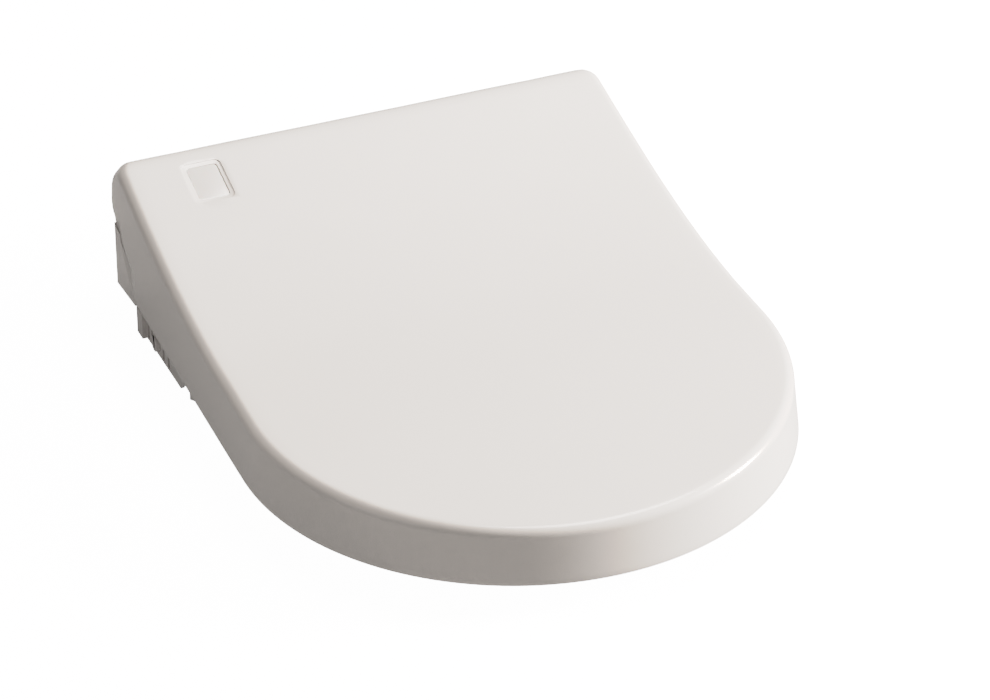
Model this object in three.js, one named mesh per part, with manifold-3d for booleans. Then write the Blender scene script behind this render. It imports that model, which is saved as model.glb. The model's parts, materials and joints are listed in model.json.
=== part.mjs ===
// Electric bidet seat: a hinged lid over a heated ring seat and a rear water, air and control unit.
// Millimetres, +Z up, the rounded front towards -Y. Left is -X and right is +X, as seen from the front.
// Places along the object are stations: millimetres forward of the lid's straight rear edge.
import * as THREE from 'three';
import { mergeVertices } from 'three/addons/utils/BufferGeometryUtils.js';
import Module from 'manifold-3d';

const wasm = await Module();
wasm.setup();

// ---- driving dimensions ----
const REAR = -8.9;                    // station of the lid's rearmost point
const FRONT = 484.6;                  // station of the lid's front tip
const MID = (REAR + FRONT) / 2;       // station at the middle of the object
const SKIRT = 23;                     // height of the lid's lower edge over the bowl
const HALF_REAR = 187.8;              // half width of the lid's lower edge at its rear
const HALF_WIDE = 195.9;              // the same at its widest
const WIDEST = 290;                   // station of the widest place
const CORNER = 4;                     // plan radius of the rear corners
const WALL = 3;                       // lid and seat wall
const SHELL = 2.5;                    // housing wall
const GAP = 0.3;                      // clearance between pieces that touch
const AXIS = { s: 14, z: 91 };        // hinge axis of lid and seat
const CORE = 15.5;                    // radius of the housing's hinge barrel
const SWEEP = 29.3;                   // radius that the lid's rear lip needs round the hinge
const BODY_HALF = 167;                // half width of the upper housing
const ARM = { inner: 169.5, outer: 180.5 };
const FLANK = 180.5;                  // outer half width of the base behind, inside the end covers
const TRAY = 172;                     // outer half width of the tray in front of the step
const SIDE = 185.6;                   // outer half width of the base's hanging side walls
const FOOT = { half: 189, s0: 45.5, s1: 57, top: 21 };  // pad at the rear of each side wall
const SIDE_END = 131;                 // station where the side walls end
const BODY_FRONT = 148;               // station of the housing's front face
const STEP = 41;                      // station where the base steps down to the bowl
const RING_REAR = 152;                // station of the seat ring's rear wall
const LID_TO_SEAT = 8;                // drop from the lid's top to the seat's top
const HOLE = { s: 307, along: 112, across: 108 };
const SLOPE = THREE.MathUtils.degToRad(20);
const TIP = { s: 147, z: 14 };        // end of the stored spray wand
const WAND = 104;                     // wand length
const PINION = { teeth: 16, module: 1 };
const TOOTH = { first: 3, tip: 0.64, flank: 0.36 };  // rack teeth along the wand

// ---- finishes ----
const finish = (color, roughness, metalness = 0) => ({ color, roughness, metalness });
const LOOK = {
  gloss: finish(0xe3e0de, 0.3),
  pale: finish(0xd8d6d2, 0.45),
  window: finish(0xdcdad8, 0.2),
  grey: finish(0x8f9092, 0.5),
  dark: finish(0x2c2d30, 0.5),
  rubber: finish(0xc9c7c3, 0.8),
  steel: finish(0xb8babd, 0.3, 1),
  brass: finish(0xb08d4a, 0.35, 1),
  copper: finish(0xb87348, 0.35, 1),
  board: finish(0x2e5d3c, 0.5),
  nylon: finish(0xe9e6dd, 0.4),
};

// ---- solids ----
const Y = (station) => MID - station;

function solid(geometry) {
  const bare = geometry.index ? geometry.toNonIndexed() : geometry;
  bare.deleteAttribute('normal');
  bare.deleteAttribute('uv');
  const merged = mergeVertices(bare, 1e-4);
  return new wasm.Manifold(new wasm.Mesh({
    numProp: 3,
    vertProperties: new Float32Array(merged.attributes.position.array),
    triVerts: new Uint32Array(merged.index.array),
  }));
}

// a block between two x values, two stations and two heights
function block(x0, x1, s0, s1, z0, z1) {
  const geometry = new THREE.BoxGeometry(x1 - x0, s1 - s0, z1 - z0);
  return solid(geometry.translate((x0 + x1) / 2, Y((s0 + s1) / 2), (z0 + z1) / 2));
}

// a plan outline, drawn in x and y, raised from z0 to z1
function slab(shape, z0, z1, curveSegments = 12) {
  const geometry = new THREE.ExtrudeGeometry(shape,
    { depth: z1 - z0, bevelEnabled: false, curveSegments });
  return solid(geometry.translate(0, 0, z0));
}

// a side outline, drawn in y and z, stretched from x0 to x1
const LENGTHWISE = new THREE.Matrix4().makeBasis(
  new THREE.Vector3(0, 1, 0), new THREE.Vector3(0, 0, 1), new THREE.Vector3(1, 0, 0));
function bar(shape, x0, x1, curveSegments = 12) {
  const geometry = new THREE.ExtrudeGeometry(shape,
    { depth: x1 - x0, bevelEnabled: false, curveSegments });
  return solid(geometry.applyMatrix4(LENGTHWISE).translate(x0, 0, 0));
}

// a side outline from stations and heights
const side = (...points) => new THREE.Shape(points.map(([s, z]) => new THREE.Vector2(Y(s), z)));

// a round bar between two points
function rod(radius, from, to, segments = 24) {
  const a = new THREE.Vector3(...from);
  const b = new THREE.Vector3(...to);
  const along = b.clone().sub(a);
  const geometry = new THREE.CylinderGeometry(radius, radius, along.length(), segments);
  const turn = new THREE.Quaternion().setFromUnitVectors(
    new THREE.Vector3(0, 1, 0), along.clone().normalize());
  geometry.applyQuaternion(turn);
  const middle = a.add(b).multiplyScalar(0.5);
  return solid(geometry.translate(middle.x, middle.y, middle.z));
}
const across = (radius, x0, x1, s, z, segments = 24) =>
  rod(radius, [x0, Y(s), z], [x1, Y(s), z], segments);
const upright = (radius, x, s, z0, z1, segments = 24) =>
  rod(radius, [x, Y(s), z0], [x, Y(s), z1], segments);

// a rounded rectangle about a centre, in plan
function roundRect(x, s, width, length, radius) {
  const shape = new THREE.Shape();
  const [l, r, b, t] = [x - width / 2, x + width / 2, Y(s) - length / 2, Y(s) + length / 2];
  shape.moveTo(l + radius, b);
  shape.lineTo(r - radius, b);
  shape.absarc(r - radius, b + radius, radius, -Math.PI / 2, 0);
  shape.absarc(r - radius, t - radius, radius, 0, Math.PI / 2);
  shape.absarc(l + radius, t - radius, radius, Math.PI / 2, Math.PI);
  shape.absarc(l + radius, b + radius, radius, Math.PI, Math.PI * 1.5);
  return shape;
}

// a pipe of a round section along a smooth line of [x, station, z] points
function pipe(radius, points, steps = 24, sides = 10) {
  const section = new THREE.Shape().absarc(0, 0, radius, 0, 2 * Math.PI);
  const line = new THREE.CatmullRomCurve3(points.map(([x, s, z]) => new THREE.Vector3(x, Y(s), z)));
  const geometry = new THREE.ExtrudeGeometry(section,
    { extrudePath: line, steps, curveSegments: sides });
  return solid(geometry);
}

const group = new THREE.Group();
function add(name, body, look, parent = group) {
  const { vertProperties, triVerts } = body.getMesh();
  const geometry = new THREE.BufferGeometry();
  geometry.setAttribute('position', new THREE.BufferAttribute(vertProperties, 3));
  geometry.setIndex(new THREE.BufferAttribute(triVerts, 1));
  geometry.computeVertexNormals();
  const mesh = new THREE.Mesh(geometry, new THREE.MeshStandardMaterial(look));
  mesh.name = name;
  parent.add(mesh);
  return mesh;
}
const SIDES = [['left', -1], ['right', 1]];
// a body, or for the left side its mirror image, whose triangles are wound the other way
function mirrored(body, sign) {
  if (sign > 0) return body;
  const { vertProperties, triVerts } = body.getMesh();
  const geometry = new THREE.BufferGeometry();
  geometry.setAttribute('position', new THREE.BufferAttribute(vertProperties.slice(), 3));
  geometry.scale(-1, 1, 1);
  return new wasm.Manifold(new wasm.Mesh({
    numProp: 3,
    vertProperties: geometry.attributes.position.array,
    triVerts: triVerts.slice().reverse(),
  }));
}

// ---- lid and seat outlines ----
// lid top: steep at the rear, nearly level in front, as height over the lower edge
const RIDGE = new THREE.SplineCurve([[-60, 111], [0, 93], [60, 75.3], [120, 60.1], [180, 49.5],
  [240, 44.8], [360, 43.1], [500, 40.0]].map(([s, h]) => new THREE.Vector2(Y(s), SKIRT + h)));
const ridge = (drop, count = 18) =>
  RIDGE.getPoints(count).map((point) => new THREE.Vector2(point.x, point.y - drop));

// everything below the lid's top, lowered by a drop
function under(drop, floor = 0) {
  const line = ridge(drop);
  return bar(new THREE.Shape([...line, new THREE.Vector2(line.at(-1).x, floor),
    new THREE.Vector2(line[0].x, floor)]), -HALF_WIDE, HALF_WIDE);
}

// the lid's side outline behind its top: a rounded rear end that ends in a lip under the hinge
const NOSE = { s: 5.7, z: 99.7, r: 14 };
const LIP = { s: 3.5, z: 79.2, r: 12.4 };
function endCap(inset) {
  const shape = new THREE.Shape();
  shape.moveTo(Y(FRONT + 10), SKIRT - 15);
  shape.lineTo(Y(FRONT + 10), 130);
  shape.lineTo(Y(22), 130);
  shape.lineTo(Y(NOSE.s), NOSE.z + NOSE.r - inset);
  shape.absarc(Y(NOSE.s), NOSE.z, NOSE.r - inset, Math.PI / 2, 0, true);
  shape.absarc(Y(LIP.s), LIP.z, LIP.r - inset, 0, -1.2, true);
  return shape;
}
function lidSide(inset) {
  const shape = endCap(inset);
  // the inner form runs past the outer one, so that the lid stays open below
  const past = inset * 3;
  if (inset > 0) shape.lineTo(Y(1), 58);
  else shape.absarc(Y(AXIS.s), AXIS.z, SWEEP - 1, -1.02, -1.53, true);
  shape.lineTo(Y(13.4), 56.6 - past);
  shape.lineTo(Y(36.4 - inset), 46.6 - past);
  shape.lineTo(Y(39 - inset), SKIRT - 15);
  return bar(shape, -HALF_WIDE - 5, HALF_WIDE + 5);
}

// plan outline of the lid's lower edge, moved inwards by an inset
function halfWidth(station) {
  return HALF_WIDE - (HALF_WIDE - HALF_REAR) * Math.max(0, 1 - station / WIDEST) ** 1.15;
}
function planOutline(inset) {
  const shape = new THREE.Shape();
  const rear = REAR + inset;
  const radius = Math.max(1, CORNER - inset / 2);
  const flank = [];
  for (let i = 0; i <= 9; i += 1) {
    const s = rear + radius + ((WIDEST - rear - radius) * i) / 9;
    flank.push(new THREE.Vector2(halfWidth(s) - inset, Y(s)));
  }
  const half = flank[0].x;
  shape.moveTo(-flank.at(-1).x, flank.at(-1).y);
  shape.absellipse(0, Y(WIDEST), HALF_WIDE - inset, FRONT - WIDEST - inset, Math.PI, 2 * Math.PI);
  flank.slice().reverse().slice(1).forEach((p) => shape.lineTo(p.x, p.y));
  shape.absarc(half - radius, Y(rear) - radius, radius, 0, Math.PI / 2);
  shape.absarc(radius - half, Y(rear) - radius, radius, Math.PI / 2, Math.PI);
  flank.slice(1, -1).forEach((p) => shape.lineTo(-p.x, p.y));
  return shape;
}

// the lid's drafted outer form: its walls lean inwards as they rise, more in front than behind
const DRAFT_HEIGHT = 100;
function drafted(inset, z0 = SKIRT) {
  const geometry = new THREE.ExtrudeGeometry(planOutline(inset),
    { depth: DRAFT_HEIGHT, bevelEnabled: false, curveSegments: 26 });
  geometry.translate(0, 0, z0);
  const position = geometry.attributes.position;
  for (let i = 0; i < position.count; i += 1) {
    const s = MID - position.getY(i);
    const lean = 1.6 + 9.4 * Math.min(1, Math.max(0, s) / 240) ** 2;
    const shrink = 1 - lean / HALF_WIDE;
    if (position.getZ(i) > z0 + 1) {
      position.setX(i, position.getX(i) * shrink);
      if (s > WIDEST) position.setY(i, Y(WIDEST + (s - WIDEST) * shrink));
    }
  }
  return solid(geometry);
}

const hole = (grow, z0, z1) => slab(new THREE.Shape().absellipse(0, Y(HOLE.s),
  HOLE.across + grow, HOLE.along + grow, 0, 2 * Math.PI), z0, z1, 28);

// ---- lid ----
const WINDOW = { x: -128, s: 35.5, width: 23.2, length: 31 };
const windowBlock = (grow, radius) => slab(roundRect(WINDOW.x, WINDOW.s,
  WINDOW.width + grow, WINDOW.length + grow, radius), 60, 130, 5);

function lidShell() {
  const outer = drafted(0).intersect(lidSide(0)).intersect(under(0));
  const inner = drafted(WALL, SKIRT - 10).intersect(lidSide(WALL)).intersect(under(WALL + 0.1));
  let body = outer.subtract(inner);
  const frame = windowBlock(6.4, 4).intersect(under(-5)).subtract(under(0.6));
  body = body.subtract(windowBlock(0, 3)).subtract(frame);
  SIDES.forEach(([, sign]) => {
    const boss = across(11, 181.4, 185.4, AXIS.s, AXIS.z).subtract(
      across(5 + GAP, 181, 183.8, AXIS.s, AXIS.z));
    body = body.add(mirrored(boss, sign));
    // slots in the rear lip where the seat's arms stand
    body = body.subtract(mirrored(block(ARM.inner - 2, ARM.outer + 1.2, -14, 9, 55, 83), sign));
  });
  return body;
}
const lidWindow = () => windowBlock(-2 * GAP, 3 - GAP).intersect(under(0.9)).subtract(under(2.9));

function lidBumper(x, s) {
  return upright(6, x, s, 30, 120, 16).intersect(under(WALL + 0.5)).subtract(
    under(LID_TO_SEAT - GAP));
}

// ---- seat ----
const SEAT_INSET = 5.6;
const RING_FLOOR = 21.5;
function ringBlock(inset, drop, rear, floor) {
  const keep = block(-HALF_WIDE, HALF_WIDE, rear, FRONT, floor - 1, 130);
  return drafted(inset, floor).intersect(under(drop)).intersect(keep);
}
function seatTop() {
  const outer = ringBlock(SEAT_INSET, LID_TO_SEAT, RING_REAR, RING_FLOOR).subtract(
    hole(0, 0, 130)).add(seatHeel());
  const inner = ringBlock(SEAT_INSET + WALL, LID_TO_SEAT + WALL, RING_REAR + WALL, RING_FLOOR - 1)
    .subtract(hole(WALL, 0, 130));
  let body = outer.subtract(inner);
  SIDES.forEach(([, sign]) => {
    const pocket = block(ARM.inner - 1, ARM.outer + 1, RING_REAR - 2, RING_REAR + 5, 40, 66);
    body = body.subtract(mirrored(pocket, sign));
  });
  return body;
}
// the seat's side walls reach lower at their rear ends, and rise to the seat's edge from there
function seatHeel() {
  const low = 4.8;
  const rise = side([RING_REAR, RING_FLOOR + 3], [RING_REAR, low], [RING_REAR + 3, low],
    [173, 15.5], [182, RING_FLOOR], [182, RING_FLOOR + 3]);
  const wall = drafted(SEAT_INSET, low - 1).subtract(drafted(SEAT_INSET + WALL, low - 2));
  return wall.intersect(bar(rise, -HALF_WIDE, HALF_WIDE)).subtract(
    block(-150, 150, 100, 300, 0, 60));
}
function seatBottom() {
  const inset = SEAT_INSET + WALL + GAP;
  const plate = drafted(inset, SKIRT - 3).intersect(
    block(-HALF_WIDE, HALF_WIDE, RING_REAR + WALL + GAP, FRONT, RING_FLOOR, RING_FLOOR + WALL));
  return plate.subtract(hole(WALL + GAP, 0, 130));
}
function seatHeater() {
  const drop = LID_TO_SEAT + WALL + GAP;
  const inset = SEAT_INSET + WALL + 9;
  const sheet = ringBlock(inset, drop, RING_REAR + 14, 30).subtract(under(drop + 0.9));
  return sheet.subtract(hole(WALL + 8, 0, 130));
}
function seatArm() {
  const beam = side([AXIS.s + 2, AXIS.z + 10.5], [60, 91.5], [100, 80], [RING_REAR - 4, 66.5],
    [RING_REAR + 28, 57.5], [RING_REAR + 28, 46], [RING_REAR - 4, 46], [AXIS.s + 30, 71],
    [AXIS.s + 2, AXIS.z - 10.5]);
  const boss = across(12, ARM.inner, ARM.outer, AXIS.s, AXIS.z, 32);
  return bar(beam, ARM.inner, ARM.outer).add(boss).subtract(
    across(8 + GAP, ARM.inner - 1, ARM.outer + 1, AXIS.s, AXIS.z));
}
const seatBush = () => across(8, ARM.inner, ARM.outer, AXIS.s, AXIS.z).subtract(
  across(5 + GAP, ARM.inner - 1, ARM.outer + 1, AXIS.s, AXIS.z));

function seatBumper(x, s) {
  return slab(roundRect(x, s, 16, 34, 6), 0, RING_FLOOR - GAP, 4);
}

// ---- housing ----
const PORT = { half: 9.2 };                          // wand port in the front walls
const DRYER = { x0: 36, x1: 64, z0: 9.5, z1: 19.5 };  // warm air port
const PLATE = { half: 92, s0: 52, s1: 126, thick: 4 };
const CARTRIDGE = { x0: 128, s0: 96, s1: 132, z0: 4.5, z1: 20.5 };
// openings along the base's left side wall, and the drain knob between them
const SLOTS = [61, 68.5, 93, 104];
const SLOT = { half: 2.1, z0: 2.5, z1: 18.5 };
const KNOB = { s: 80, z: 9.5 };
const LENS = { x: -128, s: 60, half: 12 };

const lengthwise = (x, s, z, r, length) =>
  rod(r, [x, Y(s) - length, z], [x, Y(s) + length, z]);

function baseTray() {
  const t = SHELL;
  const shelf = 27;                     // top of the ledge that carries the side walls
  let body = block(-TRAY, TRAY, STEP, 146, 0, 32)
    .subtract(block(t - TRAY, TRAY - t, STEP + t, 146 - t, t, 40))
    .subtract(block(t - TRAY, TRAY - t, STEP - 1, STEP + t + 1, 17, 40));
  const rear = block(-FLANK, FLANK, 0, STEP + t, 14.5, 58).subtract(
    block(t - FLANK, FLANK - t, t, STEP + 10, 14.5 + t, 60));
  body = body.add(rear);
  // raised bay over the sliding mounting plate, open to the rear
  const bay = PLATE.half + 4;
  body = body.add(block(-bay - t, bay + t, STEP, 132, 0, 6.2 + t));
  body = body.subtract(block(-bay, bay, -20, 132 - t, -1, 6.2));
  // thin side walls hang from a ledge beside the tray, each with a foot at its rear
  const hanging = bar(side([STEP + 2, 15], [FOOT.s0, 15], [FOOT.s0, 0], [SIDE_END - 2, 0],
    [SIDE_END + 6.6, 10.4], [SIDE_END + 6.6, shelf], [STEP + 2, shelf]), SIDE - t, SIDE);
  SIDES.forEach(([, sign]) => {
    body = body.subtract(mirrored(block(BODY_HALF + 1, FLANK + 1, -5, 150, 30, 60), sign));
    const ledge = block(TRAY - 1, SIDE, STEP, SIDE_END + 6.6, shelf - t, shelf);
    const foot = block(SIDE - t, FOOT.half, FOOT.s0, FOOT.s1, 0, FOOT.top);
    body = body.add(mirrored(ledge.add(hanging).add(foot), sign));
  });
  // ports for the wand, the warm air, the cartridge and the water inlet
  body = body.subtract(block(-PORT.half - 3, PORT.half + 3, 140, 150, 3.2, 27));
  body = body.subtract(block(DRYER.x0, DRYER.x1, 140, 150, DRYER.z0, DRYER.z1));
  body = body.subtract(block(150, 190, CARTRIDGE.s0 - 0.5, CARTRIDGE.s1 + 0.5, 4, 21));
  body = body.subtract(lengthwise(-130, 0, 36, 11.4, 6)).subtract(
    lengthwise(130, 0, 36, 8.4, 6));
  SLOTS.forEach((s) => {
    const gap = block(-SIDE - 1, 0.5 + t - SIDE, s - SLOT.half, s + SLOT.half, SLOT.z0, SLOT.z1);
    body = body.subtract(gap);
  });
  body = body.subtract(across(6.6, -SIDE - 2, 0.5 + t - SIDE, KNOB.s, KNOB.z));
  body = body.subtract(across(3.8, -SIDE - 2, 5 - TRAY, KNOB.s, KNOB.z));
  return body.subtract(block(TRAY - 5, SIDE + 1, 60.5, 74, 4.5, 15.5));
}

function housingSide(inset, foot) {
  const shape = new THREE.Shape();
  shape.moveTo(Y(BODY_FRONT - inset), foot);
  shape.lineTo(Y(BODY_FRONT - inset), 68 - inset);
  shape.lineTo(Y(96), 81.5 - inset);
  shape.lineTo(Y(46), 96 - inset);
  if (inset === 0) {
    shape.lineTo(Y(30), 101);
    shape.absarc(Y(AXIS.s), AXIS.z, CORE, 1.9, -2.6, true);
    shape.lineTo(Y(AXIS.s + SWEEP + 1.5), AXIS.z - 6);
  } else {
    shape.lineTo(Y(34), 97.5);
    shape.lineTo(Y(34), 88);
    shape.lineTo(Y(47), 88);
    shape.lineTo(Y(47), 82);
  }
  shape.absarc(Y(AXIS.s), AXIS.z, SWEEP + inset, Math.PI + 0.38, 2 * Math.PI - 1.05);
  shape.lineTo(Y(2.4 + inset), foot);
  return shape;
}
function housingCover() {
  const outer = bar(housingSide(0, 33), -BODY_HALF, BODY_HALF);
  const inner = bar(housingSide(SHELL, 30), SHELL - BODY_HALF, BODY_HALF - SHELL);
  const rearGap = block(-BODY_HALF - 1, BODY_HALF + 1, -5, SHELL + GAP, 20, 58 + GAP).add(
    block(-BODY_HALF - 1, BODY_HALF + 1, -5, 10, 20, 50));
  const boreLeft = across(12.2, -BODY_HALF - 1, BODY_HALF + 1, AXIS.s, AXIS.z, 32);
  let body = outer.subtract(inner).subtract(rearGap).subtract(boreLeft);
  body = body.subtract(block(-LENS.half + LENS.x - 0.5, LENS.x + LENS.half + 0.5,
    LENS.s - 8, LENS.s + 8, 84, 100));
  return body;
}
const sensorLens = () => bar(side([LENS.s - 7.5, 92.1], [LENS.s + 7.5, 87.8],
  [LENS.s + 7.5, 85.8], [LENS.s - 7.5, 90.1]), LENS.x - LENS.half, LENS.x + LENS.half);

// flush end cover beside the lid's rear end
function sideCover() {
  const inner = FLANK + GAP;
  const shape = new THREE.Shape();
  shape.moveTo(Y(0), 14.8);
  shape.lineTo(Y(STEP - 1), 17.5);
  shape.lineTo(Y(38), SKIRT);
  shape.lineTo(Y(35.4), 45.9);
  shape.lineTo(Y(13.2), 55.6);
  shape.lineTo(Y(11.6), AXIS.z - SWEEP);
  shape.absarc(Y(AXIS.s), AXIS.z, SWEEP, -1.49, -1.066);
  shape.lineTo(Y(0), 64);
  const pocket = side([SHELL, 18], [STEP - 5, 20.5], [33.4, 43.6], [12, 52.5], [SHELL, 54]);
  const body = bar(shape, inner, 188).subtract(bar(pocket, inner - 1, 188 - SHELL));
  return body;
}
function buttonHole(body, s, z) {
  return body.subtract(across(5 + GAP, 184, 190, s, z, 20));
}
const BUTTONS = [['power_button', 12, 36], ['wash_button', 27, 32]];
const pushButton = (s, z) => across(5, 182.4, 188.6, s, z, 20).add(
  across(6.6, 182.4, 184.4, s, z, 20));

function mountingPlate() {
  let body = slab(roundRect(0, (PLATE.s0 + PLATE.s1) / 2, 2 * PLATE.half,
    PLATE.s1 - PLATE.s0, 6), 0, PLATE.thick, 5);
  SIDES.forEach(([, sign]) => {
    body = body.subtract(slab(roundRect(sign * 68, 89, 13, 52, 6.4), -1, PLATE.thick + 1, 6));
  });
  return body.subtract(slab(roundRect(0, 89, 60, 40, 8), -1, PLATE.thick + 1, 5));
}
function releaseButton() {
  return block(SIDE - 6, SIDE + 2.5, 61, 73.5, 5, 15).add(
    block(150, SIDE - 6, 64, 70, 7, 13));
}
const drainKnob = () => across(6.2, -SIDE - 2.6, -SIDE + 6, KNOB.s, KNOB.z).subtract(
  block(-SIDE - 4, -SIDE - 1, KNOB.s - 1.1, KNOB.s + 1.1, KNOB.z - 6, KNOB.z + 6)).add(
  across(3.4, -SIDE + 6, -SIDE + 26, KNOB.s, KNOB.z, 16));

// ---- spray wand, in a frame that runs back and up along it from its tip ----
function rack() {
  const pitch = Math.PI * PINION.module;
  const shape = new THREE.Shape();
  shape.moveTo(2, 0);
  for (let at = TOOTH.first; at + pitch < WAND; at += pitch) {
    shape.lineTo(at, 2.4);
    shape.lineTo(at + TOOTH.flank, 4.4);
    shape.lineTo(at + TOOTH.flank + TOOTH.tip, 4.4);
    shape.lineTo(at + 2 * TOOTH.flank + TOOTH.tip, 2.4);
  }
  shape.lineTo(WAND, 2.4);
  shape.lineTo(WAND, 0);
  return bar(shape, 7.2, 12.2);
}
function pinion() {
  const pitchRadius = (PINION.teeth * PINION.module) / 2;
  const shape = new THREE.Shape();
  for (let i = 0; i < PINION.teeth; i += 1) {
    const at = (2 * Math.PI * i) / PINION.teeth;
    [[-0.105, -1.2], [-0.035, 0.85], [0.035, 0.85], [0.105, -1.2]].forEach(([turn, out], k) => {
      const r = pitchRadius + out;
      const point = [r * Math.cos(at + turn), r * Math.sin(at + turn)];
      if (i + k === 0) shape.moveTo(...point);
      else shape.lineTo(...point);
    });
  }
  return bar(shape, 0, 5).subtract(bar(new THREE.Shape().absarc(0, 0, 2.2, 0, 2 * Math.PI), -1, 6));
}
function wandUnit() {
  const unit = new THREE.Group();
  unit.position.set(0, Y(TIP.s), TIP.z);
  unit.rotation.x = SLOPE;
  const tube = rod(6.5, [0, 14.3, 0], [0, WAND, 0]).subtract(rod(3, [0, 14, 0], [0, WAND + 1, 0], 12));
  let tip = rod(6.5, [0, 1, 0], [0, 14, 0]).add(rod(8, [0, 0, 0], [0, 1.6, 0]));
  tip = tip.subtract(rod(3, [0, 6, 0], [0, 15, 0], 12));
  [5.5, 8.5, 11].forEach((at) => {
    tip = tip.subtract(rod(0.8, [0, at, 0], [0, at, 9], 10));
  });
  add('nozzle_wand', tube, LOOK.steel, unit);
  add('nozzle_tip', tip, LOOK.nylon, unit);
  add('nozzle_rack', rack(), LOOK.nylon, unit);
  const cradle = bar(new THREE.Shape([[8, -9.6], [100, -9.6], [100, -7], [8, -7]].map(
    ([y, z]) => new THREE.Vector2(y, z))), -11, 14).add(
    bar(new THREE.Shape([[8, -9.6], [100, -9.6], [100, 3], [8, 3]].map(
      ([y, z]) => new THREE.Vector2(y, z))), -11, -8));
  add('nozzle_cradle', cradle, LOOK.pale, unit);
  const drive = new THREE.Group();
  // the pinion stands over the middle of the rack's fifth gap, with one tooth pointing into it
  const along = TOOTH.first + TOOTH.flank + TOOTH.tip / 2 + 4.5 * Math.PI * PINION.module;
  drive.position.set(7.2, along, 3.4 + (PINION.teeth * PINION.module) / 2);
  unit.add(drive);
  const gear = add('drive_pinion', pinion(), LOOK.nylon, drive);
  gear.rotation.x = -Math.PI / 2;
  const motor = rod(8.4, [5.6, 0, 0], [27, 0, 0]).add(rod(1.9, [0, 0, 0], [6, 0, 0], 16));
  add('nozzle_motor', motor, LOOK.grey, drive);
  return unit;
}

// ---- water side ----
const INLET = { x: -130, z: 36 };
function inletFitting() {
  const { x, z } = INLET;
  const stub = rod(9, [x, Y(14), z], [x, Y(-8.5), z]);
  const collar = rod(11, [x, Y(6), z], [x, Y(1), z], 24);
  return stub.add(collar).subtract(rod(5, [x, Y(13), z], [x, Y(-10), z], 16));
}
const inletValve = () => block(-146, -114, 14.4, 40, 22, 50).add(
  upright(10, -130, 27, 50, 57, 20)).subtract(lengthwise(-130, 16, 36, 4, 3));
function heaterTank() {
  return slab(roundRect(-60, 92, 64, 76, 10), 12, 52, 4).add(upright(6, -60, 70, 52, 56, 16));
}
const washPump = () => slab(roundRect(-128, 96, 40, 50, 8), 10, 26, 4).add(
  upright(14, -128, 92, 26, 46, 20));
const feedPipe = () => pipe(3,
  [[-130, 40.5, 30], [-130, 48, 29], [-130, 60, 21], [-130, 70, 20]], 9);
const tankPipe = () => pipe(3,
  [[-107.4, 96, 18], [-103, 96, 18], [-97, 92, 21], [-92.6, 92, 21]], 8);

// ---- air side ----
const FAN = { x: 84, s: 88, r: 31 };
function blowerCase() {
  const { x, s, r } = FAN;
  const { x0, x1, z0, z1 } = DRYER;
  let body = upright(r, x, s, z0 - 0.5, 38, 32).add(block(x0, x1, 88, 143, z0 - 0.5, z1 + 2));
  body = body.subtract(block(x0 + 2, x1 - 2, 92, 150, z0 + 1.5, z1));
  return body.subtract(upright(r - 2, x, s, z0 + 1.5, 40, 32));
}
const blowerCover = () => upright(FAN.r, FAN.x, FAN.s, 38.3, 40.8, 32).subtract(
  upright(10, FAN.x, FAN.s, 37, 42, 20));
function fanWheel() {
  const { x, s } = FAN;
  let body = upright(26, x, s, 15, 17, 24).add(upright(6, x, s, 15, 30, 16));
  for (let i = 0; i < 12; i += 1) {
    const at = (i * Math.PI) / 6;
    const blade = rod(1.1, [x + 21 * Math.cos(at), Y(s) + 21 * Math.sin(at), 16],
      [x + 21 * Math.cos(at), Y(s) + 21 * Math.sin(at), 34], 8);
    body = body.add(blade);
  }
  return body.subtract(upright(2.2, x, s, 20, 31, 12));
}
const fanMotor = () => upright(15, FAN.x, FAN.s, 41.1, 56, 24).add(
  upright(1.9, FAN.x, FAN.s, 21, 41.2, 12));
const dryerFlap = () => block(DRYER.x0 - 0.5, DRYER.x1 + 0.5, 146.4, 148, 9, 19.3).add(
  across(1.1, DRYER.x0 - 0.5, DRYER.x1 + 0.5, 147.4, 20, 12));
const cartridge = () => block(CARTRIDGE.x0, SIDE, CARTRIDGE.s0, CARTRIDGE.s1, CARTRIDGE.z0,
  CARTRIDGE.z1).subtract(block(CARTRIDGE.x0 + 3, SIDE - 4, CARTRIDGE.s0 + 3,
  CARTRIDGE.s1 - 3, CARTRIDGE.z0 + 3, CARTRIDGE.z1 + 1));

// ---- electrics ----
const cordGland = () => lengthwise(130, 0, 36, 8, 8).add(lengthwise(130, -2.5, 36, 10.5, 1.6)).subtract(
  lengthwise(130, 0, 36, 4, 12));
const powerBoard = () => block(110, 160, 16, 60, 62 - 42, 21.6);
const transformer = () => slab(roundRect(135, 40, 30, 26, 3), 22, 46, 3);
const controlBoard = () => block(-100, 100, 60, 132, 60.5, 62.1);

// ---- assembly ----
add('base_tray', baseTray(), LOOK.pale);
add('housing_cover', housingCover(), LOOK.gloss);
SIDES.forEach(([name, sign]) => {
  let cover = sideCover();
  if (sign > 0) BUTTONS.forEach(([, s, z]) => { cover = buttonHole(cover, s, z); });
  add(`side_cover_${name}`, mirrored(cover, sign), LOOK.gloss);
});
add('mounting_plate', mountingPlate(), LOOK.grey);
add('release_button', releaseButton(), LOOK.pale);
BUTTONS.forEach(([name, s, z]) => add(name, pushButton(s, z), LOOK.pale));
add('drain_knob', drainKnob(), LOOK.pale);
add('sensor_lens', sensorLens(), LOOK.dark);
add('lid_shell', lidShell(), LOOK.gloss);
add('lid_window', lidWindow(), LOOK.window);
add('seat_top_shell', seatTop(), LOOK.gloss);
add('seat_bottom_shell', seatBottom(), LOOK.pale);
add('seat_heater', seatHeater(), LOOK.copper);
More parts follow.
